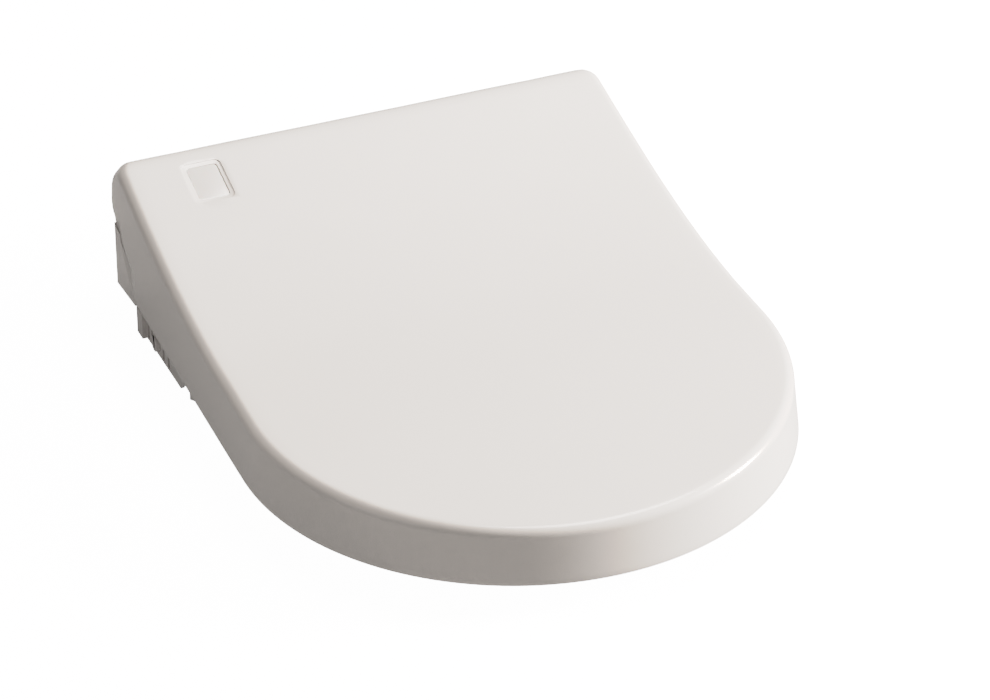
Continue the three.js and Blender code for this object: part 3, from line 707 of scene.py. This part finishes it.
# %% Make the window panel
WINDOW_DROP, WINDOW_DIP, WINDOW_THICK = 0.9, 0.5, 2.0
WINDOW_PLAY, WINDOW_BORDER, WINDOW_CORNER = 0.6, 1.6, 2.7
window = top_slab("window_panel",
                  round_rect(WINDOW_X, WINDOW_S, WINDOW_WIDE - WINDOW_PLAY,
                             WINDOW_LONG - WINDOW_PLAY, WINDOW_CORNER),
                  WINDOW_DROP, WINDOW_DROP + WINDOW_THICK)
bm = bmesh.new()
bm.from_mesh(window.data)
upper = max(bm.faces, key=lambda f: f.calc_center_median().z)
bmesh.ops.inset_region(bm, faces=[upper], thickness=WINDOW_BORDER * MM,
                       depth=-WINDOW_DIP * MM)
bm.to_mesh(window.data)
bm.free()
break_edges(window, 0.3, 3, 30)
print("window panel:", len(window.data.polygons), "faces")

# %% [markdown]
# ## Hinge bosses
# Inside each end of the lid a round boss takes the hinge pin. Its profile is one line, from
# the bottom of the pin's blind hole over the chamfered face to the lid's wall, which is spun
# round the hinge line, as on a lathe.

# %% Spin the bosses
BOSS_HOLE = [(183.8, 0.0), (183.8, 5.3), (181.4, 5.3)]
BOSS = [(181.4, 10.4), (182.0, 11.0), (185.2, 11.0), (185.2, 0.0)]


def turned(name, profile, side, cells=40):
    """Spins a line of (x, radius) millimetres round the hinge line."""
    bm = bmesh.new()
    centre = place(0, HINGE_S, HINGE_Z)
    points = [bm.verts.new(centre + Vector((side * x * MM, 0, r * MM))) for x, r in profile]
    lines = [bm.edges.new(pair) for pair in zip(points, points[1:])]
    bmesh.ops.spin(bm, geom=points + lines, cent=centre, axis=(1, 0, 0), angle=2 * math.pi,
                   steps=cells, use_merge=True)
    bmesh.ops.remove_doubles(bm, verts=bm.verts, dist=1e-6)
    bmesh.ops.recalc_face_normals(bm, faces=bm.faces)
    return smooth(make_object(name, bm), 40)


bosses = [turned(f"lid_boss_{name}", BOSS_HOLE + BOSS, side)
          for name, side in (("left", -1), ("right", 1))]
print("two hinge bosses:", len(bosses[0].data.polygons), "faces each")

# %% [markdown]
# ## Seat ring
# The seat is a warm, rounded ring that people sit on, so its outer and inner edges are far
# rounder than the lid's. The upper shell is lofted round the opening: each column runs up the
# outer wall, over the top and down into the opening. Behind, the side walls reach lower, as
# the heels that show under the lid's edge.

# %% Sections of the seat ring
RING_REAR, RING_FLOOR, LID_TO_SEAT = 152, 21.5, 8
SEAT_INSET, SEAT_WALL = 5.6, 3
HOLE_S, HOLE_ALONG, HOLE_ACROSS = 307, 112, 108
OUTER_ROUND, INNER_ROUND = 9, 13
HEEL = [(RING_REAR + 3, 4.8), (173, 15.5), (182, RING_FLOOR)]
HEEL_INNER = 150        # only the walls outside this half width have a heel
RING_LEAN = wall_inset(HOLE_S, 50) / 2     # the outer wall leans half as much as the lid's
FRONT_CELLS, REAR_CELLS = 84, 44
OUTER_CELLS, TOP_CELLS, INNER_CELLS = 7, 6, 8
RAY_REACH = 320.0       # longer than from the opening's middle to any place on the rim


def inside_ring(x, station, inset):
    if station < RING_REAR:
        return False
    if station <= WIDEST:
        return abs(x) <= half_width(station) - inset
    across, along = x / (WIDEST_HALF - inset), (station - WIDEST) / (FRONT - WIDEST - inset)
    return across ** 2 + along ** 2 <= 1


def ring_edge(turn, inset):
    """Where a ray from the opening's middle leaves the ring."""
    low, high = 0.0, RAY_REACH
    for _ in range(30):
        middle = (low + high) / 2
        x, station = middle * math.cos(turn), HOLE_S + middle * math.sin(turn)
        if inside_ring(x, station, inset):
            low = middle
        else:
            high = middle
    return low * math.cos(turn), HOLE_S + low * math.sin(turn)


def heel_floor(x, station):
    """Height of the ring's lower edge, which drops at the two heels."""
    if abs(x) < HEEL_INNER or station > HEEL[2][0]:
        return RING_FLOOR
    if station <= HEEL[0][0]:
        return HEEL[0][1]
    (s0, z0), (s1, z1) = HEEL[:2] if station < HEEL[1][0] else HEEL[1:]
    return mix(z0, z1, (station - s0) / (s1 - s0))


JUST_INSIDE = 0.02      # keeps the ray at the corner from slipping past it
corner_x = half_width(RING_REAR) - SEAT_INSET - JUST_INSIDE
corner = math.atan2(RING_REAR - HOLE_S, corner_x)
turns = ([mix(corner, math.pi - corner, i / FRONT_CELLS) for i in range(FRONT_CELLS)]
         + [mix(math.pi - corner, 2 * math.pi + corner, i / REAR_CELLS)
            for i in range(REAR_CELLS)])


def ring_section(turn):
    """Points of one section, from the outer lower edge over the top and into the opening."""
    x0, s0 = ring_edge(turn, SEAT_INSET)
    x1, s1 = ring_edge(turn, SEAT_INSET + RING_LEAN)
    hx, hs = HOLE_ACROSS * math.cos(turn), HOLE_S + HOLE_ALONG * math.sin(turn)
    reach = math.hypot(x1 - hx, s1 - hs)
    ux, us = (hx - x1) / reach, (hs - s1) / reach
    floor = heel_floor(x0, s0)

    def under_lid(on, drop):
        """A point this far towards the opening, and this far under the seat's top."""
        x, station = x1 + ux * on, s1 + us * on
        return place(x, station, top_height(station) - LID_TO_SEAT - drop)

    points = [place(x0, s0, floor), place(x0, s0, max(floor, RING_FLOOR) + 0.5)]
    for i in range(OUTER_CELLS + 1):
        t = math.pi / 2 * i / OUTER_CELLS
        points.append(under_lid(OUTER_ROUND * (1 - math.cos(t)),
                                OUTER_ROUND * (1 - math.sin(t))))
    for i in range(1, TOP_CELLS):
        points.append(under_lid(mix(OUTER_ROUND, reach - INNER_ROUND, i / TOP_CELLS), 0))
    for i in range(INNER_CELLS + 1):
        t = math.pi / 2 * i / INNER_CELLS
        points.append(under_lid(reach - INNER_ROUND * (1 - math.sin(t)),
                                INNER_ROUND * (1 - math.cos(t))))
    points.append(place(hx, hs, RING_FLOOR))
    return points


print(f"sections round the seat: {len(turns)}")


# %% [markdown]
# ## Seat ring: loft and cut
# One loop of edges goes through the first points of all sections, and is extruded from one
# point of the sections to the next. The rear wall then gets a pocket for each hinge arm.

# %% Loft the seat ring
sections = [ring_section(turn) for turn in turns]
bm = bmesh.new()
tag = bm.verts.layers.int.new("column")
loop = [bm.verts.new(section[0]) for section in sections]
for i, v in enumerate(loop):
    v[tag] = i
ring = [bm.edges.new((loop[i], loop[(i + 1) % len(loop)])) for i in range(len(loop))]
for k in range(1, len(sections[0])):
    ring = next_ring(bm, ring, lambda i, k=k: sections[i][k])
bmesh.ops.recalc_face_normals(bm, faces=bm.faces)
seat = solidify(make_object("seat_ring", bm), SEAT_WALL)
cut(seat, *arm_room("pocket", (RING_REAR - 2, 40), (RING_REAR + 5, 66), 1, 1))
break_edges(seat, 0.6, 2, 50)
print("seat ring:", len(seat.data.polygons), "faces")

# %% [markdown]
# ## Everything else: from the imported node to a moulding
# The parts under the lid have the right shape already, but with knife edges and loose
# triangles. Each gets a copy whose triangles are merged back into whole faces, whose sharp
# edges are broken by the width that its maker would give them, and which is shaded smoothly.

# %% Copy a node as a moulding
FULLY_MODELLED = {"lid_shell", "lid_window", "seat_top_shell"}


def moulding(node, width):
    """A clean copy of a node, with its edges broken by a width in millimetres."""
    bm = bmesh.new()
    bm.from_mesh(frame["nodes"][node].data)
    bmesh.ops.remove_doubles(bm, verts=bm.verts, dist=2e-6)
    bmesh.ops.dissolve_limit(bm, angle_limit=math.radians(1), verts=bm.verts, edges=bm.edges)
    bmesh.ops.recalc_face_normals(bm, faces=bm.faces)
    piece = make_object(f"{node}_piece", bm)
    return break_edges(piece, width, 2, 35)


print("nodes that get a copy:", len(frame["nodes"]) - len(FULLY_MODELLED))

# %% [markdown]
# ## Finishes
# Every finish starts from the same idea: a moulded or turned surface is never one flat value.
# Two near tones are mixed by a broad noise, the roughness drifts with another, and a fine
# noise lifts the surface by a few hundredths of a millimetre. Object coordinates keep all of
# it fixed to the piece when it moves.


# %% Build a finish
def linear(colour):
    """A colour as a screen shows it, turned into light."""
    return tuple(c / 12.92 if c <= 0.04045 else ((c + 0.055) / 1.055) ** 2.4 for c in colour)


def finish(name, tone, rough, spread=0.04, broad=14, drift=0.05, grain=(900, 0.02),
           stretch=(1, 1, 1), **sockets):
    """A layered finish; returns the material, its tree, its shader and the coordinates."""
    made = bpy.data.materials.new(name)
    made.use_nodes = True
    tree = made.node_tree
    shader = tree.nodes["Principled BSDF"]
    where = tree.nodes.new("ShaderNodeTexCoord")
    lay = node_of(tree, "ShaderNodeMapping", Scale=stretch)
    tree.links.new(where.outputs["Object"], lay.inputs["Vector"])
    cloud = node_of(tree, "ShaderNodeTexNoise", Scale=broad, Detail=3)
    tree.links.new(lay.outputs[0], cloud.inputs["Vector"])
    tones = tree.nodes.new("ShaderNodeValToRGB")
    tones.color_ramp.elements[0].position, tones.color_ramp.elements[1].position = 0.35, 0.65
    tones.color_ramp.elements[0].color = (*(c * (1 - spread) for c in tone), 1)
    tones.color_ramp.elements[1].color = (*(min(1, c * (1 + spread)) for c in tone), 1)
    tree.links.new(cloud.outputs["Fac"], tones.inputs["Fac"])
    tree.links.new(tones.outputs["Color"], shader.inputs["Base Color"])
    wear = node_of(tree, "ShaderNodeTexNoise", Scale=broad * 2.7, Detail=5)
    tree.links.new(lay.outputs[0], wear.inputs["Vector"])
    span = node_of(tree, "ShaderNodeMapRange", From_Min=0.3, From_Max=0.7,
                   To_Min=max(0.02, rough - drift), To_Max=rough + drift)
    tree.links.new(wear.outputs["Fac"], span.inputs["Value"])
    tree.links.new(span.outputs[0], shader.inputs["Roughness"])
    fine = node_of(tree, "ShaderNodeTexNoise", Scale=grain[0], Detail=2)
    tree.links.new(lay.outputs[0], fine.inputs["Vector"])
    lift = node_of(tree, "ShaderNodeBump", Strength=0.35, Distance=grain[1] * MM)
    tree.links.new(fine.outputs["Fac"], lift.inputs["Height"])
    tree.links.new(lift.outputs["Normal"], shader.inputs["Normal"])
    for socket, value in sockets.items():
        shader.inputs[socket.replace("_", " ")].default_value = value
    return made, tree, shader, where


def over_tone(tree, shader, mask, tone):
    """Lays a second tone over a finish where a mask is high."""
    under = shader.inputs["Base Color"].links[0].from_socket
    blend = tree.nodes.new("ShaderNodeMix")
    blend.data_type = "RGBA"
    tree.links.new(mask, blend.inputs["Factor"])
    tree.links.new(under, blend.inputs["A"])
    blend.inputs["B"].default_value = (*tone, 1)
    tree.links.new(blend.outputs["Result"], shader.inputs["Base Color"])


FINISHES = {}

# %% [markdown]
# ### White plastics
# The shells are polished urea or ABS: almost even in tone, with the slight orange peel of a
# polished mould. The base and the keys come from a fine-textured mould and look satin. The
# window is polished and lets a little light in.

# %% Make the white plastics
SHELL_TONE = (0.668, 0.640, 0.612)
FINISHES["gloss_shell"] = finish("polished_white_plastic", SHELL_TONE, 0.24, spread=0.006,
                                 broad=9, drift=0.03, grain=(260, 0.012), Coat_Weight=0.15,
                                 Coat_Roughness=0.12, Specular_IOR_Level=0.42)[0]
FINISHES["pale_plastic"] = finish("satin_white_plastic", (0.62, 0.596, 0.572), 0.42,
                                  spread=0.012, grain=(1900, 0.03))[0]
FINISHES["window_plastic"] = finish("window_plastic", (0.665, 0.64, 0.615), 0.2, spread=0.008,
                                    broad=30, drift=0.02, grain=(300, 0.008),
                                    Subsurface_Weight=0.12, Subsurface_Scale=0.002)[0]
print("white plastics:", len(FINISHES))

# %% [markdown]
# ### Grey, dark and natural plastics, and rubber
# The plate and dampers are grey engineering plastic, the fan, pump and filter black, the
# gears and valves natural nylon, which glows a little, and the bumpers matt pale rubber.

# %% Make the plain plastics and the rubber
FINISHES["grey_plastic"] = finish("satin_grey_plastic", linear((0.56, 0.565, 0.57)), 0.46,
                                  grain=(1700, 0.04))[0]
FINISHES["dark_plastic"] = finish("satin_dark_plastic", linear((0.17, 0.175, 0.185)), 0.44,
                                  spread=0.12, grain=(1700, 0.04))[0]
FINISHES["nylon"] = finish("natural_nylon", linear((0.91, 0.90, 0.866)), 0.38, spread=0.02,
                           grain=(1200, 0.02), Subsurface_Weight=0.2, Subsurface_Scale=0.003)[0]
FINISHES["rubber"] = finish("pale_rubber", linear((0.79, 0.78, 0.765)), 0.82, spread=0.03,
                            drift=0.08, grain=(2600, 0.06), Specular_IOR_Level=0.25)[0]
print("finishes so far:", len(FINISHES))

# %% [markdown]
# ### Metals
# The wand and pins are drawn steel, with fine scratches along them, so the noise is stretched
# in one direction. The water stub is turned brass, with rings round its length. The seat's
# heating foil is crinkled, with a darker heating track running to and fro.

# %% Make the metals
FINISHES["steel"] = finish("drawn_steel", linear((0.72, 0.73, 0.74)), 0.27, spread=0.05,
                           drift=0.1, grain=(700, 0.02), stretch=(6, 0.35, 6), Metallic=1)[0]
brass, tree, shader, where = finish("turned_brass", linear((0.69, 0.55, 0.29)), 0.28,
                                    spread=0.06, Metallic=1)
rings = node_of(tree, "ShaderNodeTexWave", Scale=420, Distortion=0.4)
rings.bands_direction = "Y"
tree.links.new(where.outputs["Object"], rings.inputs["Vector"])
groove = node_of(tree, "ShaderNodeBump", Strength=0.5, Distance=0.03 * MM)
tree.links.new(rings.outputs["Fac"], groove.inputs["Height"])
tree.links.new(groove.outputs["Normal"], shader.inputs["Normal"])
FINISHES["brass"] = brass

foil, tree, shader, where = finish("heating_foil", linear((0.8, 0.8, 0.81)), 0.3, spread=0.05,
                                   grain=(60, 0.6), Metallic=0.9)
track = node_of(tree, "ShaderNodeTexWave", Scale=22, Distortion=2.2, Detail=1)
track.wave_type = "RINGS"
track.rings_direction = "Z"
tree.links.new(where.outputs["Object"], track.inputs["Vector"])
thin = node_of(tree, "ShaderNodeMapRange", From_Min=0.86, From_Max=0.93)
tree.links.new(track.outputs["Fac"], thin.inputs["Value"])
over_tone(tree, shader, thin.outputs[0], linear((0.55, 0.36, 0.22)))
FINISHES["heater_foil"] = foil
print("finishes so far:", len(FINISHES))

# %% [markdown]
# ### Circuit boards
# Green lacquer over copper: the tracks show as slightly lighter lines, and round tinned spots
# mark the solder points. Brick lines make the tracks and small cells the spots.

# %% Make the circuit board
board, tree, shader, where = finish("lacquered_board", linear((0.18, 0.365, 0.235)), 0.32,
                                    spread=0.08, grain=(1500, 0.03))
lanes = node_of(tree, "ShaderNodeTexBrick", Scale=95, Mortar_Size=0.035)
spots = node_of(tree, "ShaderNodeTexVoronoi", Scale=210)
for texture in (lanes, spots):
    tree.links.new(where.outputs["Object"], texture.inputs["Vector"])
over_tone(tree, shader, lanes.outputs["Fac"], linear((0.30, 0.50, 0.33)))
dots = node_of(tree, "ShaderNodeMapRange", From_Min=0.16, From_Max=0.12)
tree.links.new(spots.outputs["Distance"], dots.inputs["Value"])
over_tone(tree, shader, dots.outputs[0], linear((0.75, 0.75, 0.74)))
FINISHES["circuit_board"] = board
print("finishes:", len(FINISHES))

# %% [markdown]
# ## Putting the finishes on
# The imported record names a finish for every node. Each node gets it, and so does the piece
# that stands in for the node, which rides on the node's own body. The table gives the width,
# in millimetres, by which each copy's sharp edges are broken.

# %% Dress the nodes and make the copies
PLAIN_EDGE, BUMPER_EDGE = 0.3, 1.0
EDGE = {"base_tray": 0.5, "housing_cover": 0.8, "side_cover_left": 0.6, "side_cover_right": 0.6,
        "mounting_plate": 0.5, "release_button": 0.6, "power_button": 0.5, "wash_button": 0.5,
        "drain_knob": 0.5, "seat_bottom_shell": 0.6, "seat_arm_left": 1.2,
        "seat_arm_right": 1.2, "blower_case": 0.4, "blower_cover": 0.4, "heater_tank": 1.5,
        "wash_pump": 1.0, "inlet_valve": 0.8, "inlet_fitting": 0.4, "filter_cartridge": 0.5,
        "transformer": 0.6, "cord_gland": 0.4, "dryer_flap": 0.2, "nozzle_motor": 0.4,
        "fan_motor": 0.6, "fan_wheel": 0.2, "lid_damper": 0.8, "seat_damper": 0.8,
        "power_board": 0.1, "control_board": 0.1, "nozzle_rack": 0.1, "drive_pinion": 0.1}
slot_of = {part["node"]: part["material_slot"] for part in frame["record"]["subparts"]}
body_of = {node: body for body, nodes in frame["record"]["behaviour"]["bodies"].items()
           for node in nodes}


def dress(piece, slot, body, *nodes):
    """Finish, body and stand-in of one piece."""
    piece.data.materials.clear()
    piece.data.materials.append(FINISHES[slot])
    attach(piece, body)
    if nodes:
        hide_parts(*nodes)


for node, thing in frame["nodes"].items():
    thing.data.materials.clear()
    thing.data.materials.append(FINISHES[slot_of[node]])
count = 0
for node, body in body_of.items():
    if node in FULLY_MODELLED:
        continue
    piece = moulding(node, EDGE.get(node, BUMPER_EDGE if "bumper" in node else PLAIN_EDGE))
    dress(piece, slot_of[node], body, node)
    count += len(piece.data.polygons)
dress(lid, "gloss_shell", "lid", "lid_shell")
dress(window, "window_plastic", "lid", "lid_window")
for boss in bosses:
    dress(boss, "gloss_shell", "lid")
dress(seat, "gloss_shell", "seat", "seat_top_shell")
print("copies:", count, "faces")
